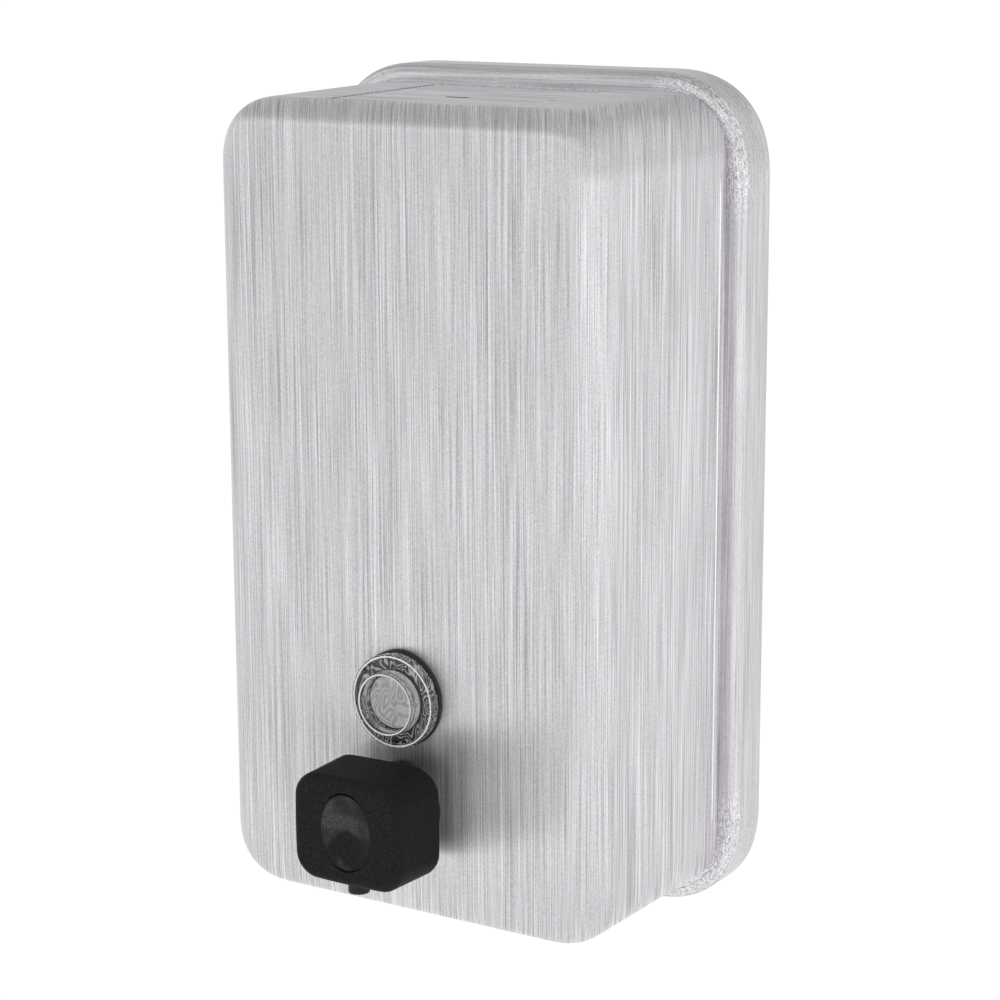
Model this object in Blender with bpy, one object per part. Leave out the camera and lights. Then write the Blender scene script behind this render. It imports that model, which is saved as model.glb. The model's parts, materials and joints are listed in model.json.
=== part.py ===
"""Wall-mounted push-button soap dispenser: a brushed steel container on a
pressed back pan, with a top filler lid, a sight window and a liquid-soap
valve worked by a black push button.

Frame: metres, +Z up, the front faces -Y, +X to the right of someone who
faces it.  The origin is the centre of the wall bracket's back face, which
lies on the wall plane y = 0.
"""
import bpy
import bmesh
from math import pi, cos, sin, sqrt, tan
from mathutils import Vector

for old in list(bpy.data.objects):
    bpy.data.objects.remove(old, do_unlink=True)

MM = 0.001

# ---------------------------------------------------------------- dimensions (mm)
GAP = 0.3                   # gap kept between pieces that touch

PAN_W, PAN_H = 118.0, 206.0  # back pan (the rim seen around the container)
PAN_R = 25.6                # its corner radius
PAN_D = 13.3                # its depth from the wall
PAN_FILLET = 3.0            # rounded front edge
PAN_T = 0.9                 # sheet

BODY_D = 71.0               # container front face, from the wall
BODY_REAR = (108.3, 195.6)  # outline at the back pan
BODY_FRONT = (107.0, 194.5)  # outline at the front, before the rounded edge
BODY_R = 16.0               # vertical edge corner radius
BODY_FILLET = 8.8           # rounded front edge
BODY_T = 0.8                # sheet
BODY_CZ = 0.65              # outline centre above the pan's centre
BODY_Y0 = PAN_D + GAP       # rear edge of the container shell

LID_X = 24.8                # half width of the filler lid
LID_Y = (-62.6, -16.4)      # front and rear edge
LID_GAP = 0.3
LID_SINK = 0.3             # the lid lies this much below the shell
SLOT = (6.4, 1.6, -45.2)    # key slot: length, width, y
HINGE_Y, HINGE_Z = -19.6, 94.6
PIN_R = 1.2

VALVE_Z = -67.4             # height of the valve's axis
WINDOW_Z = -40.8            # height of the sight window's axis

BORE_R = 5.5                # valve cylinder bore
VALVE_R = 8.0               # threaded neck through the container's front
ROD_R = 3.0
BUTTON_TRAVEL = 7.0
BUTTON_FRONT, BUTTON_REAR = -95.2, -78.8

ELBOW_Y = -34.5             # axis of the inlet's vertical leg
BALL_R, BALL_Z = 2.6, -74.5


# ---------------------------------------------------------------- helpers
def material(name, colour, rough, metal, alpha=1.0):
    m = bpy.data.materials.new(name)
    m.use_nodes = True
    b = m.node_tree.nodes["Principled BSDF"]
    b.inputs["Base Color"].default_value = (*colour, 1.0)
    b.inputs["Roughness"].default_value = rough
    b.inputs["Metallic"].default_value = metal
    b.inputs["Alpha"].default_value = alpha
    return m


STEEL = ((0.62, 0.62, 0.63), 0.34, 1.0)
STEEL_DULL = ((0.50, 0.50, 0.51), 0.42, 1.0)
SPRING = ((0.58, 0.58, 0.60), 0.25, 1.0)
BLACK = ((0.012, 0.012, 0.013), 0.48, 0.0)
BLACK_IN = ((0.02, 0.02, 0.022), 0.55, 0.0)
GREY = ((0.55, 0.56, 0.58), 0.5, 0.0)
RUBBER = ((0.018, 0.018, 0.018), 0.75, 0.0)
CLEAR = ((0.86, 0.88, 0.88), 0.06, 0.0, 0.35)


def empty(name, at):
    e = bpy.data.objects.new(name, None)
    e.empty_display_size = 0.01
    e.location = Vector(at) * MM
    bpy.context.collection.objects.link(e)
    return e


def add(name, bm, look=None, pivot=None, smooth=35.0):
    """Turn a bmesh drawn in millimetres, in the common frame, into an object.
    A moving piece is parented to the empty on its joint's axis."""
    bm.normal_update()
    bmesh.ops.recalc_face_normals(bm, faces=bm.faces)
    origin = Vector((0, 0, 0)) if pivot is None else pivot.location.copy()
    for v in bm.verts:
        v.co = v.co * MM - origin
    me = bpy.data.meshes.new(name)
    bm.to_mesh(me)
    bm.free()
    ob = bpy.data.objects.new(name, me)
    bpy.context.collection.objects.link(ob)
    if look is not None:
        me.materials.append(material(name, *look))
    if pivot is not None:
        ob.parent = pivot
    me.shade_smooth()
    me.set_sharp_from_angle(angle=smooth * pi / 180)
    return ob


def cutter(name, bm, pivot=None):
    ob = add(name, bm, None, pivot)
    ob.display_type = 'WIRE'
    ob.hide_render = True
    return ob


def boolean(ob, tool, kind='DIFFERENCE'):
    mod = ob.modifiers.new(kind.title() + "_" + tool.name, 'BOOLEAN')
    mod.operation = kind
    mod.solver = 'EXACT'
    mod.object = tool
    return ob


def loft(rings, closed=False):
    """Skin a chain of point rings of equal count.  The two ends are filled,
    or joined to each other when closed (a ring-shaped solid)."""
    bm = bmesh.new()
    loops = [[bm.verts.new(p) for p in ring] for ring in rings]
    n = len(loops[0])
    pairs = list(zip(loops[:-1], loops[1:]))
    if closed:
        pairs.append((loops[-1], loops[0]))
    for a, b in pairs:
        for i in range(n):
            j = (i + 1) % n
            bm.faces.new((a[i], a[j], b[j], b[i]))
    if not closed:
        bm.faces.new(list(reversed(loops[0])))
        bm.faces.new(loops[-1])
    return bm


def outline(w, h, r, y, cz=0.0, seg=6, power=2.35):
    """Rounded rectangle in the XZ plane; power > 2 gives a squarer corner."""
    r = max(r, 0.05)
    pts = []
    for sx, sz, flip in ((1, 1, 0), (-1, 1, 1), (-1, -1, 0), (1, -1, 1)):
        for k in range(seg + 1):
            t = (pi / 2) * (seg - k if flip else k) / seg
            cx = r * max(cos(t), 0.0) ** (2 / power)
            sz_ = r * max(sin(t), 0.0) ** (2 / power)
            pts.append(Vector((sx * (w / 2 - r + cx), y, cz + sz * (h / 2 - r + sz_))))
    return pts


def turned(profile, n=24, y0=0.0, x=0.0, z=0.0, axis='Y', phase=0.0):
    """Spin a profile of (radius, position) pairs about an axis along Y, Z or X.
    A profile that starts and ends on the axis makes a solid; any other one is
    a closed loop and makes a ring."""
    bm = bmesh.new()
    on_axis = profile[0][0] < 1e-6 and profile[-1][0] < 1e-6
    c, s = cos(phase), sin(phase)

    def at(r, p):
        if axis == 'Y':
            return Vector((x + r * c, y0 + p, z + r * s))
        if axis == 'Z':
            return Vector((x + r * c, y0 + r * s, z + p))
        return Vector((x + p, y0 + r * c, z + r * s))

    vs = [bm.verts.new(at(r, p)) for r, p in profile]
    es = [bm.edges.new((vs[i], vs[i + 1])) for i in range(len(vs) - 1)]
    if not on_axis:
        es.append(bm.edges.new((vs[-1], vs[0])))
    ax = {'Y': (0, 1, 0), 'Z': (0, 0, 1), 'X': (1, 0, 0)}[axis]
    bmesh.ops.spin(bm, geom=vs + es, cent=Vector((x, y0, z)), axis=Vector(ax),
                   dvec=Vector((0, 0, 0)), angle=2 * pi, steps=n, use_merge=True)
    bmesh.ops.remove_doubles(bm, verts=bm.verts, dist=1e-4)
    bad = [f for f in bm.faces if f.calc_area() < 1e-9]
    if bad:
        bmesh.ops.delete(bm, geom=bad, context='FACES')
    return bm


def tube(r_in, r_out, y_a, y_b, **kw):
    return turned([(r_in, y_a), (r_out, y_a), (r_out, y_b), (r_in, y_b)], **kw)


def rod(r, a, b, **kw):
    return turned([(0, a), (r, a), (r, b), (0, b)], **kw)


def slab(x, y, z):
    """A plain block between two corners."""
    bm = bmesh.new()
    bmesh.ops.create_cube(bm, size=1.0)
    for v in bm.verts:
        v.co = Vector(((x[0] + x[1]) / 2 + v.co.x * (x[1] - x[0]),
                       (y[0] + y[1]) / 2 + v.co.y * (y[1] - y[0]),
                       (z[0] + z[1]) / 2 + v.co.z * (z[1] - z[0])))
    return bm


def bar_x(points, x_a, x_b):
    """Extrude a (y, z) outline along X."""
    bm = bmesh.new()
    f = bm.faces.new([bm.verts.new((x_a, y, z)) for y, z in points])
    out = bmesh.ops.extrude_face_region(bm, geom=[f])
    vs = [e for e in out["geom"] if isinstance(e, bmesh.types.BMVert)]
    bmesh.ops.translate(bm, verts=vs, vec=Vector((x_b - x_a, 0, 0)))
    return bm


def plate_y(points, y_a, y_b):
    """Extrude an (x, z) outline along Y."""
    bm = bmesh.new()
    f = bm.faces.new([bm.verts.new((x, y_a, z)) for x, z in points])
    out = bmesh.ops.extrude_face_region(bm, geom=[f])
    vs = [e for e in out["geom"] if isinstance(e, bmesh.types.BMVert)]
    bmesh.ops.translate(bm, verts=vs, vec=Vector((0, y_b - y_a, 0)))
    return bm


def bevel(ob, width, seg=2, angle=40.0):
    m = ob.modifiers.new("Bevel", 'BEVEL')
    m.width = width * MM
    m.segments = seg
    m.limit_method = 'ANGLE'
    m.angle_limit = angle * pi / 180
    return ob


def body_outline(y, inset=0.0, seg=6):
    """Container outline at depth y: it tapers slightly towards the front."""
    y_f = -(BODY_D - BODY_FILLET)
    t = (y - (-BODY_Y0)) / (y_f - (-BODY_Y0))
    t = min(max(t, 0.0), 1.0)
    w = BODY_REAR[0] + (BODY_FRONT[0] - BODY_REAR[0]) * t
    h = BODY_REAR[1] + (BODY_FRONT[1] - BODY_REAR[1]) * t
    return outline(w - 2 * inset, h - 2 * inset, BODY_R - inset, y, BODY_CZ, seg)


def body_rings(thick, seg=6, steps=5, rear=None):
    """Rings of the container's outside (thick = 0) or its inside."""
    rear = -BODY_Y0 if rear is None else rear
    rf = BODY_FILLET
    r = rf - thick
    rings = [body_outline(rear, thick, seg)]
    for k in range(steps + 1):
        a = (pi / 2) * k / steps
        y = -(BODY_D - rf) - r * sin(a)
        rings.append(body_outline(y, thick + r * (1 - cos(a)), seg))
    return rings


# ---------------------------------------------------------------- wall bracket
def plate_outline(w, h, r, seg=3, cz=0.0):
    return [(p.x, p.z) for p in outline(w, h, r, 0, cz, seg, 2.0)]


bracket = add("wall_bracket", plate_y(plate_outline(84, 150, 6), 0, -1.5), STEEL_DULL)
for i, x in enumerate((-24, 24)):
    hook = [(-0.6, 58.5), (-7.3, 58.5), (-7.3, 67.6), (-6.1, 67.6), (-6.1, 59.7), (-0.6, 59.7)]
    boolean(bracket, cutter("hook_%d" % i, bar_x(hook, x - 8, x + 8)), 'UNION')
    foot = [(-0.6, -60), (-11.9, -60), (-11.9, -70), (-10.7, -70), (-10.7, -61.2), (-0.6, -61.2)]
    boolean(bracket, cutter("foot_%d" % i, bar_x(foot, x - 8, x + 8)), 'UNION')
for i, (x, z) in enumerate(((-28, 40), (28, 40), (-28, -40), (28, -40))):
    boolean(bracket, cutter("screw_hole_%d" % i, rod(2.6, -4, 2, n=16, x=x, z=z)))

# ---------------------------------------------------------------- back pan
r_out, r_in = PAN_FILLET, PAN_FILLET - PAN_T
rings = []
for k in range(5):                       # inside, from its flat face to the rear
    a = (pi / 2) * (4 - k) / 4
    i = PAN_T + r_in * (1 - cos(a))
    rings.append(outline(PAN_W - 2 * i, PAN_H - 2 * i, PAN_R - i,
                         -(PAN_D - PAN_FILLET) - r_in * sin(a)))
rings.append(outline(PAN_W - 2 * PAN_T, PAN_H - 2 * PAN_T, PAN_R - PAN_T, -GAP))
rings.append(outline(PAN_W, PAN_H, PAN_R, -GAP))
for k in range(6):                       # outside, from the rear to the front
    a = (pi / 2) * k / 5
    i = r_out * (1 - cos(a))
    rings.append(outline(PAN_W - 2 * i, PAN_H - 2 * i, PAN_R - i,
                         -(PAN_D - PAN_FILLET) - r_out * sin(a)))
pan = add("back_pan", loft(rings), STEEL, smooth=50)

rail = [(-12.1, 79), (-11.1, 79), (-11.1, 68.9), (-3.9, 68.9), (-3.9, 61.4),
        (-4.9, 61.4), (-4.9, 67.9), (-12.1, 67.9)]
add("hanger_rail", bar_x(rail, -36, 36), STEEL_DULL)

# ---------------------------------------------------------------- container shell
inner = body_rings(BODY_T)
outer = body_rings(0.0)
shell = add("front_shell", loft(list(reversed(inner)) + outer), STEEL, smooth=50)
boolean(shell, cutter("filler_opening", slab(
    (-LID_X - LID_GAP, LID_X + LID_GAP), (LID_Y[0] - LID_GAP, -15.4), (85, 110))))
boolean(shell, cutter("valve_hole", rod(VALVE_R + 0.35, -80, -60, n=32, z=VALVE_Z)))
boolean(shell, cutter("window_hole", rod(7.8, -80, -60, n=32, z=WINDOW_Z)))

# ---------------------------------------------------------------- filler frame
FX, FZ = 28.0, 93.0
frame = add("filler_frame", slab((-FX, FX), (-63.8, -23.0), (FZ, FZ + 0.9)), STEEL_DULL)
for i, s in enumerate((-1, 1)):
    side = [(-63.8, FZ), (-63.8, 96.3), (-61.5, 96.9), (-15.0, 96.9), (-15.0, 92.6), (-23.0, 92.6), (-23.0, FZ)]
    boolean(frame, cutter("frame_side_%d" % i, bar_x(side, s * (FX - 1.0), s * FX)), 'UNION')
boolean(frame, cutter("frame_collar", loft([
    [Vector((p.x, -43.0 + p.z, z)) for p in outline(41.0, 31.0, 5.3, 0, 0, 4, 2.0)]
    for z in (88.0, FZ + 0.45)])), 'UNION')
boolean(frame, cutter("frame_mouth", loft([
    [Vector((p.x, -43.0 + p.z, z)) for p in outline(39.2, 29.2, 4.4, 0, 0, 4, 2.0)]
    for z in (86.0, 98.0)])))
boolean(frame, cutter("frame_pin_hole", rod(PIN_R + 0.25, -32, 32, n=16, axis='X', y0=HINGE_Y, z=HINGE_Z)))

add("hinge_pin", rod(PIN_R, -29.2, 29.2, n=16, axis='X', y0=HINGE_Y, z=HINGE_Z), STEEL)

# ---------------------------------------------------------------- filler lid
lid_axis = empty("lid_axis", (0, HINGE_Y, HINGE_Z))
lid_shell = loft(list(reversed(body_rings(1.0 + LID_SINK))) + body_rings(LID_SINK))
lid = add("filler_lid", lid_shell, STEEL, pivot=lid_axis, smooth=50)
boolean(lid, cutter("lid_window", slab((-LID_X, LID_X), LID_Y, (85, 110)), lid_axis), 'INTERSECT')
for i, s in enumerate((-1, 1)):
    skirt = [(-59.5, 94.3), (-59.5, 97.3), (-24, 97.3), (-24, 94.3)]
    boolean(lid, cutter("lid_skirt_%d" % i, bar_x(skirt, s * 23.9, s * 24.7), lid_axis), 'UNION')
boolean(lid, cutter("key_slot", slab((-SLOT[0] / 2, SLOT[0] / 2),
                                     (SLOT[2] - SLOT[1] / 2, SLOT[2] + SLOT[1] / 2), (90, 110)), lid_axis))

bracket_top = 96.7
hb = add("lid_hinge_bracket", slab((-22.5, 22.5), (-30.0, -17.0), (bracket_top - 1.0, bracket_top)),
         STEEL_DULL, pivot=lid_axis)
for i, s in enumerate((-1, 1)):
    ear = [(-17.0, 96.2), (-30.0, 96.2), (-30.0, 94.8)]
    for k in range(9):
        a = pi + pi * 0.10 + (pi * 0.80) * k / 8
        ear.append((HINGE_Y + 2.5 * cos(a), HINGE_Z + 2.5 * sin(a)))
    ear.append((-17.0, 95.0))
    ear = [ear[0]] + list(reversed(ear[1:]))
    boolean(hb, cutter("ear_%d" % i, bar_x(ear, s * 20.0, s * 22.5), lid_axis), 'UNION')
boolean(hb, cutter("ear_hole", rod(PIN_R + 0.12, -30, 30, n=16, axis='X', y0=HINGE_Y, z=HINGE_Z), lid_axis))
boolean(hb, cutter("hinge_relief", slab((-19.0, 19.0), (-24.5, -10.0), (94.0, 99.0)), lid_axis))

guide = [(-9.5, 93.5), (9.5, 93.5), (9.5, 96.5), (8.6, 96.5), (8.6, 94.4), (-8.6, 94.4), (-8.6, 96.5), (-9.5, 96.5)]
add("latch_guide", plate_y(guide, -56.8, -48.5), STEEL_DULL, pivot=lid_axis)

latch_axis = empty("latch_axis", (0, -62.3, 94.7))
latch_axis.parent = lid_axis
latch_axis.location = (Vector((0, -62.3, 94.7)) - Vector((0, HINGE_Y, HINGE_Z))) * MM


def add_on(name, bm, look, parent, at):
    """As add, for a piece whose parent empty is itself parented."""
    bm.normal_update()
    bmesh.ops.recalc_face_normals(bm, faces=bm.faces)
    for v in bm.verts:
        v.co = (v.co - Vector(at)) * MM
    me = bpy.data.meshes.new(name)
    bm.to_mesh(me)
    bm.free()
    ob = bpy.data.objects.new(name, me)
    bpy.context.collection.objects.link(ob)
    me.materials.append(material(name, *look))
    ob.parent = parent
    me.shade_smooth()
    me.set_sharp_from_angle(angle=35 * pi / 180)
    return ob


tongue = [(-62.3, 94.7), (-42.0, 94.7), (-42.0, 96.7), (-43.1, 96.7), (-43.1, 95.9), (-60.8, 95.9), (-62.3, 95.3)]
add_on("lock_latch", bar_x(tongue, -6.0, 6.0), STEEL_DULL, latch_axis, (0, -62.3, 94.7))

# ---------------------------------------------------------------- sight window
lens = [(0, -76.0), (6.3, -76.0), (6.6, -78.2), (6.9, -78.5), (7.3, -78.5), (7.6, -78.2), (7.6, -75.3), (9.9, -75.3),
        (10.3, -75.6), (10.8, -75.6), (11.3, -75.1), (11.3, -72.9), (11.0, -72.6), (7.4, -72.6), (7.4, -60.0),
        (5.8, -60.0), (5.8, -74.0), (0, -74.0)]
add("window_lens", turned(lens, n=32, z=WINDOW_Z), CLEAR)
add("window_gasket", tube(7.8, 11.6, -72.3, -71.3, n=32, z=WINDOW_Z), RUBBER)
add("window_washer", tube(7.8, 11.6, -69.9, -68.9, n=24, z=WINDOW_Z), GREY)


def hex_nut(r_in, across, y_a, y_b, z, chamfer=0.7):
    """Hexagonal nut with chamfered corners; its bore is round."""
    n = 24
    rings = []

    def hexagon(y, cut):
        ring = []
        for i in range(n):
            a = 2 * pi * i / n
            f = (a % (pi / 3)) - pi / 6
            r = min(across / 2 / cos(f), across / 2 / cos(pi / 6) - cut)
            ring.append(Vector((r * cos(a), y, z + r * sin(a))))
        return ring

    def circle(y):
        return [Vector((r_in * cos(2 * pi * i / n), y, z + r_in * sin(2 * pi * i / n))) for i in range(n)]

    rings = [circle(y_a), hexagon(y_a, chamfer * 1.6), hexagon(y_a + chamfer, 0),
             hexagon(y_b - chamfer, 0), hexagon(y_b, chamfer * 1.6), circle(y_b)]
    return loft(rings, closed=True)


add("window_nut", hex_nut(7.7, 21.0, -68.6, -64.0, WINDOW_Z), GREY)

# ---------------------------------------------------------------- valve, fixed parts
cyl = [(3.25, -75.0), (9.9, -75.0), (10.4, -74.5), (10.4, -72.8), (VALVE_R, -72.8), (VALVE_R, -60.0),
       (7.0, -59.4), (7.0, -41.6), (BORE_R, -41.6), (BORE_R, -73.2), (3.25, -73.2)]
add("valve_cylinder", turned(cyl, n=32, z=VALVE_Z), BLACK_IN)
add("valve_outer_gasket", tube(8.35, 10.8, -72.5, -71.3, n=32, z=VALVE_Z), RUBBER)
add("valve_inner_gasket", tube(8.35, 11.2, -69.9, -68.9, n=32, z=VALVE_Z), RUBBER)
add("valve_lock_nut", hex_nut(8.3, 22.4, -68.6, -63.0, VALVE_Z), BLACK_IN)

elbow_profile = [(0, -38.5), (9.2, -38.5), (9.2, -46.5), (7.3, -46.5), (7.3, -41.3), (0, -41.3)]
elbow = add("inlet_elbow", turned([(r, y) for r, y in elbow_profile], n=24, z=VALVE_Z), BLACK_IN)
boolean(elbow, cutter("elbow_neck", rod(5.2, -39.5, ELBOW_Y, n=20, z=VALVE_Z)), 'UNION')
boolean(elbow, cutter("elbow_leg", rod(5.4, -83.0, -61.0, n=20, axis='Z', y0=ELBOW_Y)), 'UNION')
boolean(elbow, cutter("elbow_passage", rod(2.2, -45.0, ELBOW_Y, n=16, z=VALVE_Z)))
boolean(elbow, cutter("elbow_bore", turned(
    [(0, -66.0), (1.9, -66.0), (1.9, -70.2), (3.1, -70.2), (3.1, -76.2), (3.9, -76.2), (3.9, -90), (0, -90)],
    n=20, axis='Z', y0=ELBOW_Y)))

dip = add("dip_tube", turned([(2.0, -94.4), (3.6, -94.4), (3.6, -76.5), (2.0, -76.5)],
                             n=20, axis='Z', y0=ELBOW_Y), GREY)
notch = bar_x([(ELBOW_Y - 8, -97), (ELBOW_Y + 8, -97), (ELBOW_Y + 8, -90.4), (ELBOW_Y - 8, -95.2)], -6, 6)
boolean(dip, cutter("dip_tube_notch", notch))

# ---------------------------------------------------------------- inlet ball
ball_axis = empty("ball_axis", (0, ELBOW_Y, BALL_Z))
bm = bmesh.new()
bmesh.ops.create_uvsphere(bm, u_segments=14, v_segments=8, radius=BALL_R)
bmesh.ops.translate(bm, verts=bm.verts, vec=Vector((0, ELBOW_Y, BALL_Z)))
add("inlet_ball", bm, SPRING, pivot=ball_axis)

# ---------------------------------------------------------------- push button and plunger
button_axis = empty("button_axis", (0, BUTTON_REAR, VALVE_Z))

CAP_FRONT = (30.0, 26.0, 5.7, -67.4)
CAP_REAR = (31.0, 26.9, 6.2, -67.5)


def cap_outline(y, inset):
    t = (y - BUTTON_REAR) / (BUTTON_FRONT - BUTTON_REAR)
    w, h, r, cz = (a + (b - a) * t for a, b in zip(CAP_REAR, CAP_FRONT))
    return outline(w - 2 * inset, h - 2 * inset, r - inset, y, cz, 5, 2.0)


CAP_E, CAP_WALL, CAP_FACE = 2.1, 1.8, 2.4
rings = [cap_outline(BUTTON_FRONT + CAP_FACE, CAP_WALL + 0.8),
         cap_outline(BUTTON_FRONT + CAP_FACE + 0.8, CAP_WALL),
         cap_outline(BUTTON_REAR, CAP_WALL), cap_outline(BUTTON_REAR, 0.3),
         cap_outline(BUTTON_REAR - 0.3, 0.0)]
for k in range(5):
    a = (pi / 2) * k / 4
    rings.append(cap_outline(BUTTON_FRONT + CAP_E * (1 - sin(a)), CAP_E * (1 - cos(a))))
cap = add("push_button", loft(rings), BLACK, pivot=button_axis, smooth=60)
DIMPLE = (7.0, 9.1, 1.5)                 # half width, half height, depth
ay, c = 3.9, 2.4
k = sqrt(1 - (c / ay) ** 2)
bm = bmesh.new()
bmesh.ops.create_uvsphere(bm, u_segments=20, v_segments=14, radius=1.0)
for v in bm.verts:
    v.co = Vector((v.co.x * DIMPLE[0] / k, BUTTON_FRONT - c + v.co.z * ay, -67.2 + v.co.y * DIMPLE[1] / k))
boolean(cap, cutter("finger_dimple", bm, button_axis))
SPOUT_Y = -89.9
boolean(cap, cutter("spout_hole", rod(2.85, -90, -76, n=20, axis='Z', y0=SPOUT_Y), button_axis))

spout = add("spout_tube", rod(4.7, -92.4, -86.8, n=20, z=VALVE_Z), BLACK, pivot=button_axis)
boolean(spout, cutter("spout_leg", rod(2.55, -83.0, VALVE_Z, n=20, axis='Z', y0=SPOUT_Y), button_axis), 'UNION')
boolean(spout, cutter("spout_socket", rod(3.3, -91.3, -80, n=20, z=VALVE_Z), button_axis))
boolean(spout, cutter("spout_bore", turned(
    [(0, VALVE_Z), (1.2, VALVE_Z), (1.2, -79.0), (1.9, -79.0), (1.9, -90), (0, -90)],
    n=16, axis='Z', y0=SPOUT_Y), button_axis))

# duckbill: a round collar that narrows to two thin lips with a slit between
rings = []
for z, a, b in ((-79.3, 1.6, 1.6), (-80.6, 1.6, 1.6), (-82.6, 1.6, 0.55)):
    rings.append([Vector((a * cos(2 * pi * i / 16), SPOUT_Y + b * sin(2 * pi * i / 16), z)) for i in range(16)])
for z, a, b in ((-82.6, 1.25, 0.18), (-80.6, 0.95, 0.85), (-79.3, 1.0, 1.0)):
    rings.append([Vector((a * cos(2 * pi * i / 16), SPOUT_Y + b * sin(2 * pi * i / 16), z)) for i in range(16)])
add("outlet_duckbill", loft(rings, closed=True), RUBBER, pivot=button_axis)

add("plunger_rod", tube(1.5, ROD_R, -91.0, -58.9, n=24, z=VALVE_Z), GREY, pivot=button_axis)
pis = [(1.5, -56.5), (5.1, -56.5), (5.1, -57.9), (4.2, -57.9), (4.2, -60.6), (5.1, -60.6), (5.1, -62.0),
       (3.3, -62.0), (3.3, -58.6), (1.5, -58.6)]
add("piston", turned(pis, n=24, z=VALVE_Z), GREY, pivot=button_axis)
cup = [(4.45, -58.2), (5.0, -58.2), (5.3, -58.5), (5.3, -60.2), (5.1, -60.3), (4.45, -60.3)]
add("u_cup_seal", turned(cup, n=24, z=VALVE_Z), RUBBER, pivot=button_axis)

# ---------------------------------------------------------------- return spring
curve = bpy.data.curves.new("return_spring", 'CURVE')
curve.dimensions = '3D'
curve.bevel_depth = 0.45 * MM
curve.bevel_resolution = 1
curve.use_fill_caps = True
sp = curve.splines.new('POLY')
TURNS, PER = 6.5, 12
N = int(TURNS * PER)
y_a, y_b, dead = -55.7, -42.1, 1.0
sp.points.add(N)
for i in range(N + 1):
    t = i / N * TURNS
    u = min(max((t - dead) / (TURNS - 2 * dead), 0.0), 1.0)
    lead = 0.95 * (min(t, dead) / dead + max(t - (TURNS - dead), 0.0) / dead)
    y = y_a + lead + (y_b - y_a - 1.9) * u
    a = 2 * pi * t
    sp.points[i].co = (4.3 * cos(a) * MM, (y - BUTTON_REAR) * MM, 4.3 * sin(a) * MM, 1.0)
spring = bpy.data.objects.new("return_spring", curve)
curve.materials.append(material("return_spring", *SPRING))
bpy.context.collection.objects.link(spring)
spring.parent = button_axis
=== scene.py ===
import json
from math import pi, cos, sin, sqrt, radians, tan, atan2
import bpy
import bmesh
from mathutils import Vector, Matrix, noise


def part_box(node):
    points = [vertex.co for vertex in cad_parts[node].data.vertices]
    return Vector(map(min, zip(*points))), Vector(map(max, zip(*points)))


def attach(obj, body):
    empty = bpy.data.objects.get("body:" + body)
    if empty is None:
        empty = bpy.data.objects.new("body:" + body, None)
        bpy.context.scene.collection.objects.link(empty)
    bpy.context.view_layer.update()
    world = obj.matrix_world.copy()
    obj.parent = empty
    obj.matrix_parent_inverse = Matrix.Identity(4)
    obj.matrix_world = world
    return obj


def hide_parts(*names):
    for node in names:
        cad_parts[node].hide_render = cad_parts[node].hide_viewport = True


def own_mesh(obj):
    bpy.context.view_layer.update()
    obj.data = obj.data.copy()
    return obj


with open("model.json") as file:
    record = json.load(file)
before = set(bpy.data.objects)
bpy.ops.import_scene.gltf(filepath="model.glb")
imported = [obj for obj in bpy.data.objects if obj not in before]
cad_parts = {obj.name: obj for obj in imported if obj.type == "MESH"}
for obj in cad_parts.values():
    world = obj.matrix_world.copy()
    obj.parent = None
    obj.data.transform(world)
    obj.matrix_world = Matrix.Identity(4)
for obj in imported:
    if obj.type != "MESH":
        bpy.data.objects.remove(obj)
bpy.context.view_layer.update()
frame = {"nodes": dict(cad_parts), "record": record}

MM = 0.001
scene = bpy.context.scene
NODES = frame["nodes"]
BODY_OF = {n: b for b, ns in frame["record"]["behaviour"]["bodies"].items() for n in ns}


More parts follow.
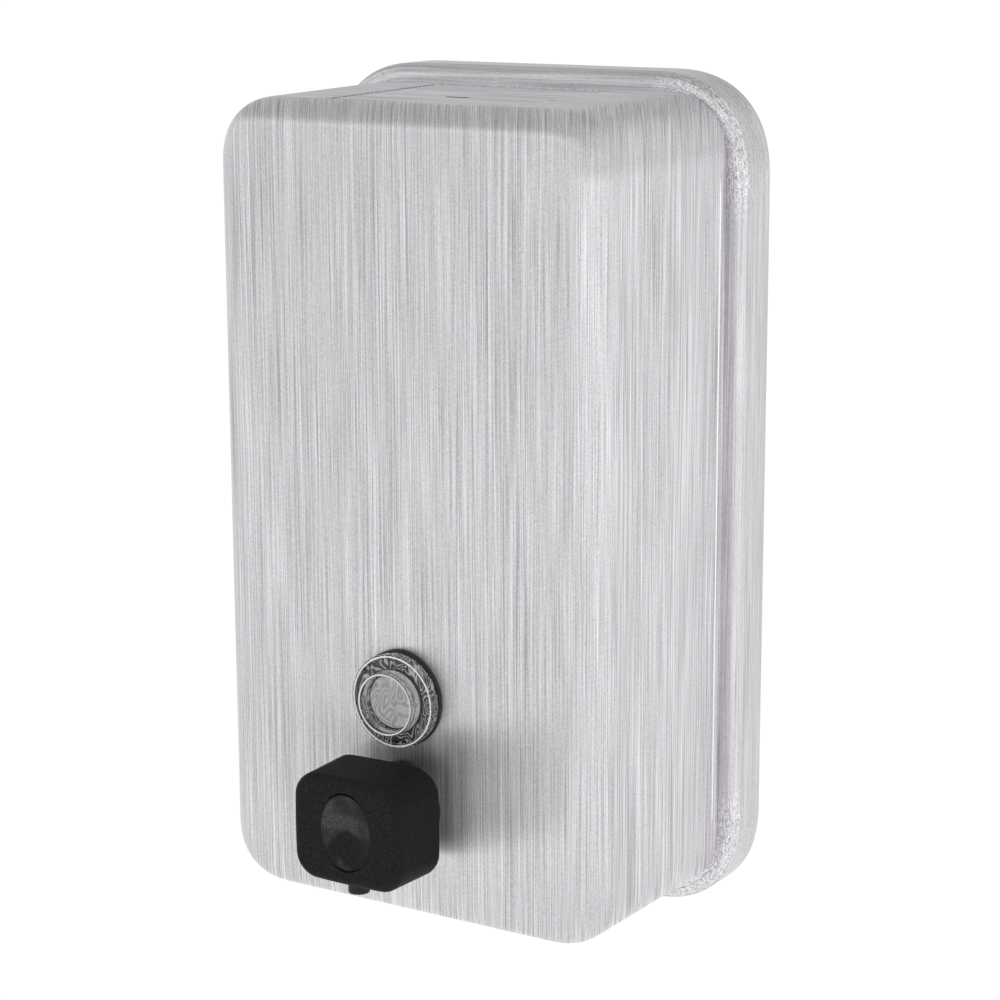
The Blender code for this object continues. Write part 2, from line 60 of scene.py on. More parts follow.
# =====================================================================
# node helpers
# =====================================================================
class Tree:
    """A short way to write shader nodes."""

    def __init__(self, name):
        self.mat = bpy.data.materials.new(name)
        self.mat.use_nodes = True
        self.nt = self.mat.node_tree
        self.bsdf = self.nt.nodes["Principled BSDF"]
        self.out = self.nt.nodes["Material Output"]

    def put(self, socket, value):
        if isinstance(value, bpy.types.NodeSocket):
            self.nt.links.new(value, socket)
        elif isinstance(value, (tuple, list)) and len(value) == 3 and socket.type == 'RGBA':
            socket.default_value = (*value, 1.0)
        else:
            socket.default_value = value

    def node(self, kind, props=None, **inputs):
        n = self.nt.nodes.new(kind)
        for k, v in (props or {}).items():
            setattr(n, k, v)
        for k, v in inputs.items():
            key = int(k[1:]) if k[0] == "_" and k[1:].isdigit() else k.replace("_", " ")
            self.put(n.inputs[key], v)
        return n

    def math(self, op, a, b=0.0, c=None, clamp=False):
        n = self.nt.nodes.new("ShaderNodeMath")
        n.operation = op
        n.use_clamp = clamp
        self.put(n.inputs[0], a)
        self.put(n.inputs[1], b)
        if c is not None:
            self.put(n.inputs[2], c)
        return n.outputs[0]

    def vmath(self, op, a, b=(0, 0, 0)):
        n = self.nt.nodes.new("ShaderNodeVectorMath")
        n.operation = op
        self.put(n.inputs[0], a)
        if op == 'SCALE':
            self.put(n.inputs["Scale"], b)
        else:
            self.put(n.inputs[1], b)
        return n.outputs["Value"] if op in ('DOT_PRODUCT', 'LENGTH') else n.outputs["Vector"]

    def xyz(self, v):
        n = self.node("ShaderNodeSeparateXYZ", _0=v)
        return n.outputs[0], n.outputs[1], n.outputs[2]

    def vec(self, x, y, z):
        return self.node("ShaderNodeCombineXYZ", _0=x, _1=y, _2=z).outputs[0]

    def noise(self, v, scale=1.0, detail=2.0, rough=0.5, distort=0.0, off=None):
        if off is not None:
            v = self.vmath('ADD', v, off)
        n = self.node("ShaderNodeTexNoise", dict(noise_dimensions='3D'), Vector=v, Scale=scale,
                      Detail=detail, Roughness=rough, Distortion=distort)
        return n.outputs["Fac"]

    def step(self, v, lo, hi, a=0.0, b=1.0, smooth=True):
        n = self.nt.nodes.new("ShaderNodeMapRange")
        n.interpolation_type = 'SMOOTHSTEP' if smooth else 'LINEAR'
        n.clamp = True
        for i, x in enumerate((v, lo, hi, a, b)):
            self.put(n.inputs[i], x)
        return n.outputs[0]

    def mix(self, f, a, b, kind='RGBA'):
        n = self.nt.nodes.new("ShaderNodeMix")
        n.data_type = kind
        ins = {'FLOAT': (0, 2, 3), 'VECTOR': (0, 4, 5), 'RGBA': (0, 6, 7)}[kind]
        outs = {'FLOAT': 0, 'VECTOR': 1, 'RGBA': 2}[kind]
        for i, x in zip(ins, (f, a, b)):
            self.put(n.inputs[i], x)
        return n.outputs[outs]

    def tint(self, colour, value):
        """colour x value, where value is a socket near 1"""
        return self.vmath('SCALE', colour, value)

    def bump(self, height, distance, strength=1.0, normal=None):
        n = self.node("ShaderNodeBump", Height=height, Distance=distance, Strength=strength)
        if normal is not None:
            self.put(n.inputs["Normal"], normal)
        return n.outputs[0]

    def coords(self):
        n = self.nt.nodes.new("ShaderNodeTexCoord")
        return n.outputs["Object"], n.outputs["Normal"], n.outputs["UV"]

    def set(self, **inputs):
        for k, v in inputs.items():
            self.put(self.bsdf.inputs[k.replace("_", " ")], v)


def world_vector(t, v):
    n = t.nt.nodes.new("ShaderNodeVectorTransform")
    n.vector_type = 'VECTOR'
    n.convert_from = 'OBJECT'
    n.convert_to = 'WORLD'
    t.put(n.inputs[0], v)
    return n.outputs[0]


# =====================================================================
# materials
# =====================================================================
def steel_streaks(t, q, strength=1.0):
    """Value near 1 from long fine grinding marks; q is fast across the grain and slow along it."""
    n1 = t.noise(q, 1.0, 2.0, 0.6)
    n2 = t.noise(q, 0.40, 1.0, 0.55, off=(31.0, 7.0, 3.0))
    n3 = t.noise(q, 0.045, 1.0, 0.5, off=(5.0, 53.0, 11.0))
    scr = t.step(t.noise(q, 0.62, 1.0, 0.4, off=(71.0, 13.0, 29.0)), 0.64, 0.78)
    a = t.math('MULTIPLY_ADD', n1, 1.85 * strength, 1.0 - 0.925 * strength)
    b = t.math('MULTIPLY_ADD', n2, 0.10 * strength, -0.05 * strength)
    c = t.math('MULTIPLY_ADD', n3, 0.04 * strength, -0.02 * strength)
    s = t.math('ADD', t.math('ADD', a, b), c)
    s = t.math('MULTIPLY_ADD', scr, 0.10 * strength, s)
    return s, n1, n2, n3


def brushed_shell(name, base, rough, aniso):
    """Container steel: brushed up and down all round; the top and bottom faces from side to side."""
    t = Tree(name)
    p, n, _ = t.coords()
    px, py, pz = t.xyz(p)
    nx, ny, nz = t.xyz(n)
    az_ = t.math('ABSOLUTE', nz)
    flat = t.step(az_, 0.975, 0.99)                         # top and bottom
    k, slow = 5200.0, 24.0
    wob = t.math('MULTIPLY_ADD', t.noise(p, 7.0, 1.0), 0.0003, -0.00015)   # marks are not quite parallel
    # one coordinate that runs on from the front round to the sides, so that the marks meet
    turn = t.math('MULTIPLY', t.step(px, -0.0469, -0.0467, -1.0, 1.0), t.math('ADD', py, BODY_D * MM))
    s_ = t.math('ADD', t.math('MULTIPLY', px, 0.852), t.math('MULTIPLY', turn, 0.524))
    d_ = t.math('SUBTRACT', t.math('MULTIPLY', py, 0.852), t.math('MULTIPLY', px, 0.524))
    qa = t.vec(t.math('MULTIPLY', t.math('ADD', s_, wob), k), t.math('MULTIPLY', d_, 60.0),
               t.math('MULTIPLY', pz, slow))
    qb = t.vec(t.math('MULTIPLY', px, slow), t.math('MULTIPLY', t.math('ADD', py, wob), 1100.0), 4.0)
    q = t.mix(t.math('GREATER_THAN', flat, 0.5), qa, qb, 'VECTOR')
    s, n1, n2, n3 = steel_streaks(t, q)
    cloud = t.noise(p, 30.0, 2.0, 0.5)
    speck = t.noise(p, 2300.0, 1.0, 0.6)
    s = t.math('MULTIPLY_ADD', speck, 0.50, t.math('SUBTRACT', s, 0.25))
    s = t.math('MAXIMUM', s, 0.35)
    tone = t.math('MULTIPLY', s, t.math('MULTIPLY_ADD', cloud, 0.07, 0.965))
    # painted shade: the sheared walls of the key slot are darkened to under a tenth in base colour, standing in
    # for the shadow down inside the slot
    cut = t.math('MULTIPLY', t.math('LESS_THAN', t.math('ABSOLUTE', px), 0.0034),
                 t.math('LESS_THAN', t.math('ABSOLUTE', t.math('ADD', py, 0.0452)), 0.00095))
    cut = t.math('MULTIPLY', cut, t.math('LESS_THAN', az_, 0.75))
    tone = t.math('MULTIPLY', tone, t.math('MULTIPLY_ADD', cut, -0.92, 1.0))
    t.set(Base_Color=t.tint(base, tone), Metallic=1.0, Anisotropic=aniso)
    r = t.math('MULTIPLY_ADD', n2, 0.10, rough - 0.05)
    r = t.math('MULTIPLY_ADD', cloud, 0.05, t.math('SUBTRACT', r, 0.025))
    t.set(Roughness=r)
    # blur runs across the grain
    cross = t.vmath('CROSS_PRODUCT', (0, 0, 1), n)
    ta = t.vmath('ADD', cross, (0.02, 0, 0))
    tang = t.mix(flat, ta, (0, 1, 0), 'VECTOR')
    t.set(Tangent=world_vector(t, t.vmath('NORMALIZE', tang)))
    h = t.math('MULTIPLY_ADD', n2, 0.8, n1)
    nrm = t.bump(h, 0.000010, 0.5)
    wave = t.noise(p, 14.0, 1.0, 0.4)                       # the sheet is not perfectly flat
    t.set(Normal=t.bump(wave, 0.0008, 0.30, nrm))
    return t.mat


def brushed_rim(name, base, rough, aniso):
    """Pan steel: brushed along the rim; the corners are cross-hatched by the buff, with painted glints and a
    painted highlight on their forward and rear faces, strongest on the right.
    """
    t = Tree(name)
    p, n, uv = t.coords()
    u, v, _ = t.xyz(uv)
    nx, ny, nz = t.xyz(n)
    k, slow = 4200.0, 28.0
    turn = t.math('MULTIPLY', u, 2 * pi / RIM_LENGTH)      # once round the rim
    rad = RIM_LENGTH / (2 * pi)
    cu, su = t.math('COSINE', turn), t.math('SINE', turn)
    wob = t.math('MULTIPLY_ADD', t.noise(p, 14.0, 1.0), 0.0010, -0.0005)
    q = t.vec(t.math('MULTIPLY', cu, rad * slow), t.math('MULTIPLY', su, rad * slow),
              t.math('MULTIPLY', t.math('ADD', v, wob), k))
    s, n1, n2, n3 = steel_streaks(t, q, 0.80)
    px, py, pz = t.xyz(p)
    corner = t.math('MULTIPLY', t.step(t.math('ABSOLUTE', px), 0.030, 0.042),
                    t.step(t.math('ABSOLUTE', pz), 0.066, 0.080))
    corner = t.math('MULTIPLY', corner, t.step(px, -0.02, 0.02, 0.25, 1.0))   # painted highlight: the corners on the right get four times the speckle and lift of those on the left
    # painted glints: corner faces that look forward or back get much stronger speckle in base colour
    facing_glints = t.math('MULTIPLY_ADD', t.step(t.math('ABSOLUTE', ny), 0.08, 0.45), 0.75, 0.25)
    hatch = t.noise(p, 3000.0, 2.0, 0.7, 0.5)
    arcs = t.noise(t.vec(t.math('MULTIPLY', cu, rad * 900.0), t.math('MULTIPLY', su, rad * 900.0),
                         t.math('MULTIPLY', v, 2600.0)), 1.0, 2.0, 0.6, 0.8)
    grit = t.math('SUBTRACT', t.math('ADD', hatch, arcs), 1.0)
    # painted highlight: those corner faces are also lightened by a tenth in base colour
    painted_corner_highlight = t.math('MULTIPLY', t.math('MULTIPLY', corner, facing_glints), 0.10)
    spk = t.math('MULTIPLY_ADD', grit, t.math('MULTIPLY_ADD', t.math('MULTIPLY', corner, facing_glints), 1.9, 0.42), painted_corner_highlight)
    cloud = t.noise(p, 55.0, 3.0, 0.55)
    inside = t.step(ny, 0.05, 0.25)                        # the recess at the rear is left as rolled
    rolled = t.noise(t.vmath('MULTIPLY', p, (900.0, 900.0, 30.0)), 1.0, 3.0, 0.6)
    s = t.mix(inside, t.math('ADD', s, spk), t.math('MULTIPLY_ADD', rolled, 0.30, 0.72), 'FLOAT')
    tone = t.math('MULTIPLY', s, t.math('MULTIPLY_ADD', cloud, 0.10, 0.95))
    t.set(Base_Color=t.tint(base, tone), Metallic=1.0, Anisotropic=aniso)
    t.set(Roughness=t.math('MULTIPLY_ADD', n2, 0.12, rough - 0.06))
    tg = t.node("ShaderNodeTangent", dict(direction_type='UV_MAP', uv_map="UVMap"))
    t.put(t.bsdf.inputs["Tangent"], tg.outputs[0])
    t.set(Anisotropic_Rotation=0.25)
    h = t.math('MULTIPLY_ADD', spk, 1.4, t.math('MULTIPLY_ADD', n2, 0.6, n1))
    t.set(Normal=t.bump(h, 0.000012, 0.6))
    return t.mat


def mill_steel(name, base, rough, scale=700.0):
    """Unpolished inner steel: rolled sheet with faint rolling lines, stains and small pits."""
    t = Tree(name)
    p, n, _ = t.coords()
    q = t.vmath('MULTIPLY', p, (scale, scale, scale / 40.0))
    n1 = t.noise(q, 1.0, 3.0, 0.6)
    stain = t.noise(p, 38.0, 4.0, 0.6)
    pits = t.step(t.noise(p, 1500.0, 1.0, 0.4), 0.66, 0.78)
    tone = t.math('MULTIPLY_ADD', n1, 0.24, 0.88)
    tone = t.math('MULTIPLY', tone, t.math('MULTIPLY_ADD', stain, 0.24, 0.88))
    tone = t.math('MULTIPLY_ADD', pits, -0.12, tone)
    t.set(Base_Color=t.tint(base, tone), Metallic=1.0)
    t.set(Roughness=t.math('MULTIPLY_ADD', stain, 0.20, rough - 0.10))
    t.set(Normal=t.bump(t.math('MULTIPLY_ADD', pits, -0.8, n1), 0.00002, 0.5))
    return t.mat


def bright_steel(name, base, rough):
    """Turned or drawn stainless: fine rings and a little handling wear."""
    t = Tree(name)
    p, n, _ = t.coords()
    n1 = t.noise(t.vmath('MULTIPLY', p, (500.0, 2600.0, 2600.0)), 1.0, 2.0, 0.6)
    wear = t.noise(p, 240.0, 3.0, 0.6)
    t.set(Base_Color=t.tint(base, t.math('MULTIPLY_ADD', wear, 0.16, 0.92)), Metallic=1.0)
    t.set(Roughness=t.math('MULTIPLY_ADD', n1, 0.12, rough))
    t.set(Normal=t.bump(n1, 0.000006, 0.5))
    return t.mat


def moulded(name, base, rough, grain=2600.0, depth=0.000016, speck=0.10, dimple=None, coat=0.0, spec=0.5):
    """Injection moulded plastic with a fine spark-eroded grain and soft colour variation."""
    t = Tree(name)
    p, n, _ = t.coords()
    g = t.noise(p, grain, 2.0, 0.6)
    m = t.noise(p, grain * 0.11, 3.0, 0.6)
    c = t.noise(p, 90.0, 2.0, 0.5)
    tone = t.math('MULTIPLY_ADD', g, speck, 1.0 - speck / 2)
    tone = t.math('MULTIPLY', tone, t.math('MULTIPLY_ADD', c, 0.20, 0.90))
    r = t.math('MULTIPLY_ADD', m, 0.12, rough - 0.06)
    h = t.math('MULTIPLY_ADD', m, 0.5, g)
    if dimple is not None:
        (cx, cz, a, b, r_in) = dimple
        x, y, z = t.xyz(p)
        dx = t.math('DIVIDE', t.math('SUBTRACT', x, cx), a)
        dz = t.math('DIVIDE', t.math('SUBTRACT', z, cz), b)
        rr = t.math('ADD', t.math('MULTIPLY', dx, dx), t.math('MULTIPLY', dz, dz))
        front = t.math('LESS_THAN', y, -0.0915)
        inside = t.math('MULTIPLY', t.step(rr, 1.0, 0.90), front)
        r = t.mix(inside, r, t.math('MULTIPLY_ADD', m, 0.14, r_in - 0.05), 'FLOAT')
        h = t.math('MULTIPLY', h, t.math('MULTIPLY_ADD', inside, -0.75, 1.0))
        painted_dimple_sheen = t.step(t.noise(p, 120.0, 2.0, 0.4, 0.3), 0.38, 0.62)      # painted sheen: patches inside the dimple have their base colour lightened up to 3.6 times, in the shape of finger wear
        tone = t.math('MULTIPLY', tone, t.math('MULTIPLY_ADD', t.math('MULTIPLY', inside, painted_dimple_sheen), 2.6, 1.0))
    t.set(Base_Color=t.tint(base, t.math('MAXIMUM', tone, 0.05)))
    t.set(Roughness=r)
    t.set(Specular_IOR_Level=spec)
    if coat:
        t.set(Coat_Weight=coat, Coat_Roughness=0.25)
    t.set(Normal=t.bump(h, depth, 0.6))
    return t.mat


def rubber(name, base):
    t = Tree(name)
    p, n, _ = t.coords()
    g = t.noise(p, 1500.0, 3.0, 0.65)
    bloom = t.noise(p, 160.0, 3.0, 0.6)
    t.set(Base_Color=t.tint(base, t.math('MULTIPLY_ADD', bloom, 0.7, 0.65)))
    t.set(Roughness=t.math('MULTIPLY_ADD', g, 0.16, 0.58), Specular_IOR_Level=0.4)
    t.set(Normal=t.bump(g, 0.00003, 0.5))
    return t.mat


def acrylic(name):
    """Clear moulded window: flow swirls round the middle, a frosted back to the disc, fine scratches, and painted
    highlights as thin white rings at the lip and round the boss.
    """
    t = Tree(name)
    p, n, _ = t.coords()
    c = t.vmath('SUBTRACT', p, (0.0, 0.0, WINDOW_Z * MM))
    x, y, z = t.xyz(c)
    r = t.math('SQRT', t.math('ADD', t.math('MULTIPLY', x, x), t.math('MULTIPLY', z, z)))
    swirl = t.noise(t.vec(t.math('MULTIPLY', x, 190.0), 3.7, t.math('MULTIPLY', z, 120.0)), 1.0, 1.0, 0.45, 1.1)
    flow = t.noise(t.vmath('MULTIPLY', c, (90.0, 90.0, 90.0)), 1.0, 0.0, 0.5, 0.4)
    count = t.math('ADD', t.math('MULTIPLY', swirl, 9.0), t.math('MULTIPLY', r, 300.0))
    line = t.math('ABSOLUTE', t.math('SUBTRACT', t.math('FRACT', t.math('MULTIPLY_ADD', flow, 5.0, count)), 0.5))
    scr = t.noise(t.vmath('MULTIPLY', p, (1500.0, 1500.0, 200.0)), 1.0, 2.0, 0.5)
    behind = t.math('MULTIPLY', t.math('GREATER_THAN', y, -0.07425), t.math('LESS_THAN', y, -0.0735))
    disc = t.math('MULTIPLY', behind, t.math('LESS_THAN', r, 0.00665))
    ring = t.math('MULTIPLY', t.math('GREATER_THAN', y, -0.0729), t.math('GREATER_THAN', r, 0.0074))
    milk = t.math('MULTIPLY_ADD', t.step(line, 0.05, 0.45), 0.40, 0.58)
    ringc = t.math('MULTIPLY_ADD', t.step(line, 0.26, 0.46), 0.85, 0.005)
    # painted highlights: thin rings at the flange's lip and round the front of the boss are made near-white and
    # almost opaque
    lip = t.math('MULTIPLY', t.math('LESS_THAN', t.math('ABSOLUTE', t.math('SUBTRACT', r, 0.01082)), 0.00019),
                 t.math('LESS_THAN', y, -0.0750))
    boss_highlight = t.math('MULTIPLY', t.math('LESS_THAN', t.math('ABSOLUTE', t.math('SUBTRACT', r, 0.00722)), 0.00016),
                  t.math('LESS_THAN', y, -0.0781))
    edge = t.math('MAXIMUM', lip, boss_highlight)
    col = t.mix(disc, (0.96, 0.97, 0.98), t.tint((0.92, 0.92, 0.94), milk))
    col = t.mix(ring, col, t.tint((0.92, 0.93, 0.95), ringc))
    # painted highlight colour for both rings
    col = t.mix(edge, col, (0.93, 0.93, 0.94))
    back = t.math('MAXIMUM', t.math('MAXIMUM', disc, ring), edge)
    t.set(Base_Color=col, Transmission_Weight=t.math('MULTIPLY_ADD', back, -0.92, 1.0), IOR=1.49)
    t.set(Roughness=t.mix(back, t.math('MULTIPLY_ADD', scr, 0.04, 0.015), 0.22, 'FLOAT'))
    t.set(Normal=t.bump(swirl, 0.00010, 0.35))
    return t.mat


# =====================================================================
# mesh helpers (millimetres in, metres out)
# =====================================================================
def outline(w, h, r, y, cz=0.0, seg=18, power=2.35, mids=1):
    """Rounded rectangle in the XZ plane, counted so that every ring has the same points."""
    r = max(r, 0.05)
    pts = []
    corners = []
    for sx, sz, flip in ((1, 1, 0), (-1, 1, 1), (-1, -1, 0), (1, -1, 1)):
        arc = []
        for k in range(seg + 1):
            a = (pi / 2) * (seg - k if flip else k) / seg
            arc.append(Vector((sx * (w / 2 - r + r * max(cos(a), 0.0) ** (2 / power)), y,
                               cz + sz * (h / 2 - r + r * max(sin(a), 0.0) ** (2 / power)))))
        corners.append(arc)
    for i, arc in enumerate(corners):
        pts += arc
        nxt = corners[(i + 1) % 4][0]
        for m in range(1, mids + 1):
            pts.append(arc[-1].lerp(nxt, m / (mids + 1)))
    return pts


def mesh_object(name, verts, faces, sharp=40.0, scale=MM):
    me = bpy.data.meshes.new(name)
    me.from_pydata([Vector(v) * scale for v in verts], [], faces)
    me.validate()
    bm = bmesh.new()
    bm.from_mesh(me)
    bmesh.ops.remove_doubles(bm, verts=bm.verts, dist=1e-7)
    bm.normal_update()
    bmesh.ops.recalc_face_normals(bm, faces=bm.faces)
    bm.to_mesh(me)
    bm.free()
    ob = bpy.data.objects.new(name, me)
    scene.collection.objects.link(ob)
    me.shade_smooth()
    me.set_sharp_from_angle(angle=radians(sharp))
    return ob


def loft_object(name, rings, closed=False, sharp=40.0, caps=True):
    n = len(rings[0])
    verts = [p for ring in rings for p in ring]
    faces = []
    m = len(rings)
    for a in range(m if closed else m - 1):
        b = (a + 1) % m
        for i in range(n):
            j = (i + 1) % n
            faces.append((a * n + i, a * n + j, b * n + j, b * n + i))
    if not closed and caps:
        faces.append(tuple(reversed(range(n))))
        faces.append(tuple(range((m - 1) * n, m * n)))
    return mesh_object(name, verts, faces, sharp)


def turned_object(name, profile, n=96, axis='Y', c=(0, 0, 0), closed=True, sharp=40.0):
    """Revolve (radius, position) pairs; closed joins the last pair to the first."""
    verts, faces = [], []
    for r, s in profile:
        for i in range(n):
            a = 2 * pi * i / n
            if axis == 'Y':
                verts.append((c[0] + r * cos(a), c[1] + s, c[2] + r * sin(a)))
            elif axis == 'Z':
                verts.append((c[0] + r * cos(a), c[1] + r * sin(a), c[2] + s))
            else:
                verts.append((c[0] + s, c[1] + r * cos(a), c[2] + r * sin(a)))
    m = len(profile)
    for k in range(m if closed else m - 1):
        l = (k + 1) % m
        for i in range(n):
            j = (i + 1) % n
            faces.append((k * n + i, k * n + j, l * n + j, l * n + i))
    return mesh_object(name, verts, faces, sharp)


def rounded(profile, radius, steps=4):
    """Round the corners of a closed (radius, position) profile."""
    out = []
    m = len(profile)
    for i in range(m):
        a, b, c = (Vector((*profile[(i + d) % m], 0)) for d in (-1, 0, 1))
        u, v = (a - b), (c - b)
        if u.length < 1e-6 or v.length < 1e-6:
            out.append(profile[i])
            continue
        r = min(radius, u.length * 0.45, v.length * 0.45)
        if b.x < 1e-6:
            out.append(profile[i])
            continue
        p0, p1 = b + u.normalized() * r, b + v.normalized() * r
        for k in range(steps + 1):
            t = k / steps
            q = (1 - t) ** 2 * p0 + 2 * t * (1 - t) * b + t * t * p1
            out.append((q.x, q.y))
    return out


def boolean(ob, tool, kind='DIFFERENCE'):
    m = ob.modifiers.new("cut", 'BOOLEAN')
    m.operation = kind
    m.solver = 'EXACT'
    m.object = tool
    bake(ob)
    bpy.data.objects.remove(tool, do_unlink=True)
    return ob


def bake(ob):
    """Apply every modifier to the mesh."""
    bpy.context.view_layer.update()
    dg = bpy.context.evaluated_depsgraph_get()
    me = bpy.data.meshes.new_from_object(ob.evaluated_get(dg), preserve_all_data_layers=True, depsgraph=dg)
    old = ob.data
    ob.modifiers.clear()
    ob.data = me
    me.name = ob.name
    if old.users == 0:
        bpy.data.meshes.remove(old)
    return ob


def block(name, x, y, z):
    v = [(a, b, c) for a in x for b in y for c in z]
    f = [(0, 1, 3, 2), (4, 6, 7, 5), (0, 4, 5, 1), (2, 3, 7, 6), (0, 2, 6, 4), (1, 5, 7, 3)]
    return mesh_object(name, v, f)


def rod_object(name, r, a, b, **kw):
    n = kw.pop("n", 64)
    axis, c = kw.get("axis", 'Y'), kw.get("c", (0, 0, 0))
    ring = []
    for s in (a, b):
        row = []
        for i in range(n):
            t = 2 * pi * i / n
            if axis == 'Y':
                row.append((c[0] + r * cos(t), c[1] + s, c[2] + r * sin(t)))
            elif axis == 'Z':
                row.append((c[0] + r * cos(t), c[1] + r * sin(t), c[2] + s))
            else:
                row.append((c[0] + s, c[1] + r * cos(t), c[2] + r * sin(t)))
        ring.append(row)
    return loft_object(name, ring)


def bevel(ob, width, seg=3, angle=30.0):
    m = ob.modifiers.new("bevel", 'BEVEL')
    m.width = width * MM
    m.segments = seg
    m.limit_method = 'ANGLE'
    m.angle_limit = radians(angle)
    m.use_clamp_overlap = True
    m.harden_normals = False
    return ob


def finish_mesh(ob, sharp=40.0, weighted=True):
    bake(ob)
    ob.data.shade_smooth()
    ob.data.set_sharp_from_angle(angle=radians(sharp))
    if weighted:
        m = ob.modifiers.new("normals", 'WEIGHTED_NORMAL')
        m.keep_sharp = True
        m.weight = 60
    return ob


def wear(ob, mat, node, *more):
    """Give the piece its material and its body, and hide the CAD node that it stands for."""
    ob.data.materials.clear()
    ob.data.materials.append(mat)
    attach(ob, BODY_OF[node])
    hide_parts(node, *more)
    return ob


def refined(node, width=0.25, seg=2, angle=35.0, name=None, sharp=35.0, merge=True):
    """A finer copy of a CAD solid: facets that lie in one plane are merged and its edges are broken."""
    src = NODES[node]
    me = src.data.copy()
    ob = bpy.data.objects.new(name or node + "_fine", me)
    scene.collection.objects.link(ob)
    me.materials.clear()
    bm = bmesh.new()
    bm.from_mesh(me)
    bmesh.ops.remove_doubles(bm, verts=bm.verts, dist=2e-6)
    if merge:
        bmesh.ops.dissolve_limit(bm, angle_limit=radians(0.6), verts=bm.verts, edges=bm.edges)
    bm.to_mesh(me)
    bm.free()
    if width > 0:
        bevel(ob, width, seg, angle)
    return finish_mesh(ob, sharp)


# =====================================================================
# dimensions (mm), the CAD's own
# =====================================================================
PAN_W, PAN_H, PAN_R, PAN_D, PAN_FILLET, PAN_T = 118.0, 206.0, 25.6, 13.3, 3.0, 0.9
BODY_D, BODY_R, BODY_FILLET, BODY_T, BODY_CZ = 71.0, 16.0, 8.8, 0.8, 0.65
BODY_REAR, BODY_FRONT, BODY_Y0 = (108.3, 195.6), (107.0, 194.5), 13.6
LID_X, LID_Y = 24.8, (-62.6, -16.4)
VALVE_Z, WINDOW_Z = -67.4, -40.8
BUTTON_FRONT, BUTTON_REAR = -95.2, -78.8
SPOUT_Y = -89.9


def body_outline(y, inset=0.0, seg=18, mids=3):
    y_f = -(BODY_D - BODY_FILLET)
    t = min(max((y + BODY_Y0) / (y_f + BODY_Y0), 0.0), 1.0)
    w = BODY_REAR[0] + (BODY_FRONT[0] - BODY_REAR[0]) * t
    h = BODY_REAR[1] + (BODY_FRONT[1] - BODY_REAR[1]) * t
    return outline(w - 2 * inset, h - 2 * inset, BODY_R - inset, y, BODY_CZ, seg, mids=mids)


def body_rings(thick, steps=14, rear=-BODY_Y0):
    rf = BODY_FILLET
    r = rf - thick
    ys = [rear, -24.0, -36.0, -48.0]
    rings = [body_outline(y, thick) for y in ys]
    for k in range(steps + 1):
        a = (pi / 2) * k / steps
        rings.append(body_outline(-(BODY_D - rf) - r * sin(a), thick + r * (1 - cos(a))))
    return rings


# =====================================================================
# materials in use
# =====================================================================
_ring = outline(PAN_W, PAN_H, PAN_R, 0, seg=24, mids=5)
RIM_LENGTH = sum((_ring[(i + 1) % len(_ring)] - _ring[i]).length for i in range(len(_ring))) * MM
STEEL = (0.668, 0.652, 0.675)
M_SHELL = brushed_shell("brushed_shell", STEEL, 0.385, 0.95)
M_PAN = brushed_rim("brushed_rim", tuple(0.915 * c for c in STEEL), 0.33, 0.70)
M_MILL = mill_steel("mill_steel", (0.56, 0.56, 0.57), 0.42)
M_PIN = bright_steel("turned_steel", (0.66, 0.66, 0.67), 0.20)
# painted highlight: the seam bead's steel is lighter than the shell's, so that it reads as a bright line
M_BEAD = bright_steel("seam_steel", (0.84, 0.84, 0.85), 0.18)
M_SPRING = bright_steel("spring_wire", (0.60, 0.60, 0.61), 0.22)
M_BUTTON = moulded("button_plastic", (0.0158, 0.0149, 0.0158), 0.56, spec=0.05, speck=2.6, depth=0.00014,
                   dimple=(0.0, -0.0672, 0.0070, 0.0091, 0.26))
M_BLACK = moulded("valve_plastic", (0.008, 0.008, 0.009), 0.50, spec=0.3)
M_GREY = moulded("grey_plastic", (0.50, 0.51, 0.53), 0.45, speck=0.05)
M_RUBBER = rubber("black_rubber", (0.016, 0.016, 0.016))
M_CLEAR = acrylic("clear_acrylic")

# =====================================================================
# container shell
# =====================================================================
rings = list(reversed(body_rings(BODY_T, rear=-13.28))) + body_rings(0.0, rear=-13.28)
shell = loft_object("shell", rings, sharp=50)
OP = (LID_Y[0] - 0.35, -15.4)
cy, hw = (OP[0] + OP[1]) / 2, (OP[1] - OP[0]) / 2
op = [Vector((p.x, cy + p.z, 0)) for p in outline(2 * (LID_X + 0.55), 2 * hw, 0.9, 0, 0, 6, 2.0, mids=0)]
boolean(shell, loft_object("op", [[Vector((p.x, p.y, z)) for p in op] for z in (85, 112)]))
boolean(shell, rod_object("h1", 8.35, -80, -60, c=(0, 0, VALVE_Z), n=64))
boolean(shell, rod_object("h2", 7.8, -80, -60, c=(0, 0, WINDOW_Z), n=64))
bevel(shell, 0.16, 3, 60)
finish_mesh(shell, 50)
wear(shell, M_SHELL, "front_shell")

# the welded seam where the container meets the pan: a thin bead, its lighter steel a painted highlight
bead_rings = []
for k in range(12):
    a = 2 * pi * k / 12
    by, bi = -16.3 + 0.30 * cos(a), 0.06 - 0.30 * sin(a)
    row = []
    for p, q in zip(body_outline(by, bi, mids=41), body_outline(by, bi + 0.55, mids=41)):
        sink = min(max((abs(p.z) - 76.0) / 7.0, 0.0), 1.0)   # dressed flush at the corners, top and bottom
        row.append(p.lerp(q, sink * sink * (3 - 2 * sink)))
    bead_rings.append(row)
bead = loft_object("seam_bead", bead_rings, closed=True, sharp=80)
bead.data.materials.append(M_BEAD)
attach(bead, BODY_OF["front_shell"])

